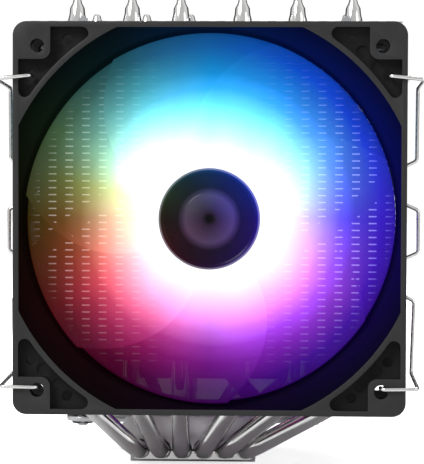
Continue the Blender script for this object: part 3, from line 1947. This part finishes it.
@dataclass
class HubCap:
    """The glossy cap on the hub: a rim bead, a dished ring and a round centre with a dimple."""

    radius: float = 15.5
    front: float = 0.9
    back: float = 1.9

    def build(self, name: str) -> Piece:
        """Turns the cap with its axis on Y.

        Args:
            name: Name of the new piece.

        Returns:
            The cap.
        """
        f, r = self.front, self.radius
        profile: list[Flat] = [(0, f + 0.75), (0.9, f + 0.7), (1.3, f + 0.35), (7.7, f + 0.3)]
        profile += [(8.1, f + 0.5), (13.9, f + 0.42), (14.3, f + 0.2)]
        profile += Outline.arc((r - 0.6, f + 0.35), 0.35, 240, 300, 4)
        profile += Outline.arc((r - 0.4, f + 0.4), 0.4, -60, 0, 4)[1:] + [(r, self.back), (0, self.back)]
        return Bench.smooth(Bench.turned(name, profile, Axis.Y, 96), 25)


@dataclass
class WireClip:
    """One spring-wire clip, hooked into a fan's front corners and led down the fins' groove."""

    wire: float = 0.6
    bend: float = 1.4
    rest: float = -0.9
    back: float = 35.0
    groove: float = -58.9

    def route(self) -> Route:
        """Plots the left-hand clip from its upper hook to its lower one.

        Returns:
            The points of the centre line, in metres.
        """
        f, b, g = self.rest, self.back, self.groove
        corners = [
            (-54.5, 5, 43.5), (-54.5, f, 43.5), (-65.2, f, 42.4), (-65.4, b, 41),
            (-65.2, b, 18), (g, b, 15), (g, b, 5.2), (-65.8, b, 2.2),
            (-65.8, b, -11.4), (g, b, -14.4), (g, b, -24), (-64.6, b, -27),
            (-63.8, b, -50.2), (-63.6, f, -51.4), (-52.5, f, -51.6), (-52.5, 4.2, -51.6),
        ]
        points = [Vector(corner) * MM for corner in corners]
        return Outline.bent(points, [self.bend] * (len(points) - 2), 6)

    def build(self, name: str) -> Piece:
        """Bends the left-hand clip."""
        return Bench.smooth(Bench.wire(name, self.route(), self.wire, 14), 60)


@dataclass
class FanPair:
    """The two fans: every piece is modelled once at the origin and copied to both places."""

    fans: tuple[str, ...] = ("front", "middle")

    def dress_motor(self, fan: str) -> None:
        """Gives the motor parts inside the hub their finishes.

        Args:
            fan: Name of the fan.
        """
        for part, finish in MOTOR_FINISHES.items():
            redress(f"{fan}_fan_{part}", finish)

    def build(self) -> None:
        """Makes the masters, copies them to each fan and fits the copies."""
        masters = {
            "frame": FanFrame().build("frame_master"),
            "impeller": Impeller().build("impeller_master"),
            "cap": HubCap().build("cap_master"),
            "clip": WireClip().build("clip_master"),
        }
        for fan in self.fans:
            place = fan_centre(fan)
            light = LightField(place)
            body, rotor = f"{fan}_fan", f"{fan}_rotor"

            def placed(master: str, name: str, mirror: bool = False) -> Piece:
                """Copies a master to this fan."""
                return Bench.settle(Bench.copy(masters[master], name, mirror=mirror), place)

            moulding = placed("frame", f"{fan}_frame_moulding")
            fit(moulding, MOULDING, body, Slot.FRAME, f"{fan}_fan_frame")
            FanFrame().finish_faces(moulding, place, PolishedDuct(f"Polished duct, {fan}", light))
            blades = FrostedBlade(f"Frosted blade plastic, {fan}", light)
            impeller = placed("impeller", f"{fan}_impeller_moulding")
            fit(impeller, blades, rotor, Slot.BLADE, f"{fan}_fan_impeller")
            gloss = HubGloss(f"Gloss black cap, {fan}", light)
            fit(placed("cap", f"{fan}_gloss_cap"), gloss, rotor, Slot.CAP, f"{fan}_fan_hub_cap")
            for side in SIDES:
                node = f"{fan}_{side}_clip"
                clip = placed("clip", f"{fan}_{side}_wire", mirror=side == "right")
                fit(clip, SPRING_WIRE, node, Slot.WIRE, node)
            self.dress_motor(fan)
        for master in masters.values():
            bpy.data.objects.remove(master)


# ------------------------------------------------------------------ studio


@dataclass(frozen=True)
class StudioFloor(Finish):
    """A plain white floor."""

    def dress(self, kit: Nodes) -> None:
        """Builds a matt white surface.

        Args:
            kit: Node tree of the material.
        """
        seen = kit.seen()
        paper = kit.blend(kit.noise(120), (0.90, 0.90, 0.90, 1), (0.93, 0.93, 0.93, 1))
        kit.set(
            Base_Color=kit.blend(seen, (0.75, 0.75, 0.75, 1), paper),
            Roughness=0.9,
            Emission_Color=(1, 1, 1, 1),
            Emission_Strength=kit.math("MULTIPLY", seen, 0.7),
        )


@dataclass(frozen=True)
class Lamp:
    """One soft light: its place and width in metres, and its power in watts."""

    name: str
    place: tuple[float, float, float]
    size: float
    power: float


@dataclass
class Studio:
    """Camera, floor, backdrop and soft lights."""

    distance: float = 603.0
    azimuth: float = 2.0
    elevation: float = 1.8
    roll: float = 0.2
    lens: float = 168.4
    aim: tuple[float, float] = (0.9, 79.05)
    sky: tuple[Flat, ...] = (
        (0.0, 0.03), (0.20, 0.04), (0.44, 1.0), (0.62, 1.0), (0.82, 0.75), (1.0, 0.70),
    )
    sky_strength: float = 0.9
    paper_strength: float = 1.05
    lit_point: tuple[float, float, float] = (0, 0, 0.08)
    lamps: tuple[Lamp, ...] = (
        Lamp("Key light", (-0.60, -0.70, 0.80), 0.55, 12),
        Lamp("Fill light", (0.8, -0.6, 0.35), 0.5, 1.2),
        Lamp("Back light", (0.1, 0.9, 0.7), 0.6, 6),
    )

    def camera(self) -> None:
        """Places the camera in front of the front fan."""
        face = fan_centre("front")
        aim = Vector((face.x + self.aim[0] * MM, face.y, self.aim[1] * MM))
        turn, rise = math.radians(self.azimuth), math.radians(self.elevation)
        level = math.cos(rise)
        away = Vector((math.sin(turn) * level, -math.cos(turn) * level, math.sin(rise)))
        lens = bpy.data.cameras.new("Camera")
        lens.lens = self.lens
        lens.sensor_fit = "HORIZONTAL"
        lens.sensor_width = 36
        lens.clip_start = 0.01
        camera = Bench.add("Camera", lens)
        camera.location = aim + away * self.distance * MM
        upright = (-away).to_track_quat("-Z", "Y").to_matrix()
        tilt = Matrix.Rotation(math.radians(self.roll), 3, "Z")
        camera.rotation_euler = (upright @ tilt).to_euler()
        bpy.context.scene.camera = camera

    def hang(self, lamp: Lamp) -> None:
        """Hangs one soft light that points at the cooler.

        Args:
            lamp: The light.
        """
        light = bpy.data.lights.new(lamp.name, "AREA")
        light.shape = "DISK"
        light.size = lamp.size
        light.energy = lamp.power
        holder = Bench.add(lamp.name, light)
        holder.location = lamp.place
        aim = Vector(self.lit_point) - Vector(lamp.place)
        holder.rotation_euler = aim.to_track_quat("-Z", "Y").to_euler()

    def world(self) -> None:
        """Lights the room: white where the camera looks, a soft sky with a dark back for the rest."""
        world = bpy.data.worlds.new("Studio")
        bpy.context.scene.world = world
        world.use_nodes = True
        kit = Nodes(world.node_tree, "Generated")
        paper = kit.tree.nodes["Background"]
        kit.link((1, 1, 1, 1), paper.inputs["Color"])
        kit.link(self.paper_strength, paper.inputs["Strength"])
        sky = kit.add("ShaderNodeBackground")
        forward = kit.math("MULTIPLY_ADD", kit.split(kit.place)["Y"], -0.5, 0.5)
        kit.link(kit.greys(forward, self.sky), sky.inputs["Color"])
        kit.link(self.sky_strength, sky.inputs["Strength"])
        mix = kit.add("ShaderNodeMixShader")
        for source, target in zip((kit.seen(), sky.outputs[0], paper.outputs[0]), mix.inputs):
            kit.link(source, target)
        kit.link(mix.outputs[0], kit.tree.nodes["World Output"].inputs["Surface"])

    def floor(self) -> None:
        """Lays the floor just under the cold plate."""
        bpy.ops.object.select_all(action="DESELECT")
        bpy.ops.mesh.primitive_plane_add(size=6, location=(0, 0, -0.0002))
        floor = Bench.name(bpy.context.object, "studio_floor")
        floor.data.materials.append(StudioFloor("White studio floor").material())

    def build(self) -> None:
        """Sets up the whole studio."""
        self.camera()
        self.world()
        self.floor()
        for lamp in self.lamps:
            self.hang(lamp)
        bpy.context.scene.view_settings.view_transform = "Standard"
        bpy.context.scene.cycles.use_denoising = True


# ------------------------------------------------------------------ whole cooler


def main() -> None:
    """Builds the studio and the cooler, sub-assembly by sub-assembly."""
    Studio().build()
    HeatpipeBank().build()
    FinTower().build()
    ColdPlateAndClamp().build()
    Crossbar().build()
    for side in SIDES:
        SpringScrew(side).build()
    FanPair().build()


if __name__ == "__main__":
    main()
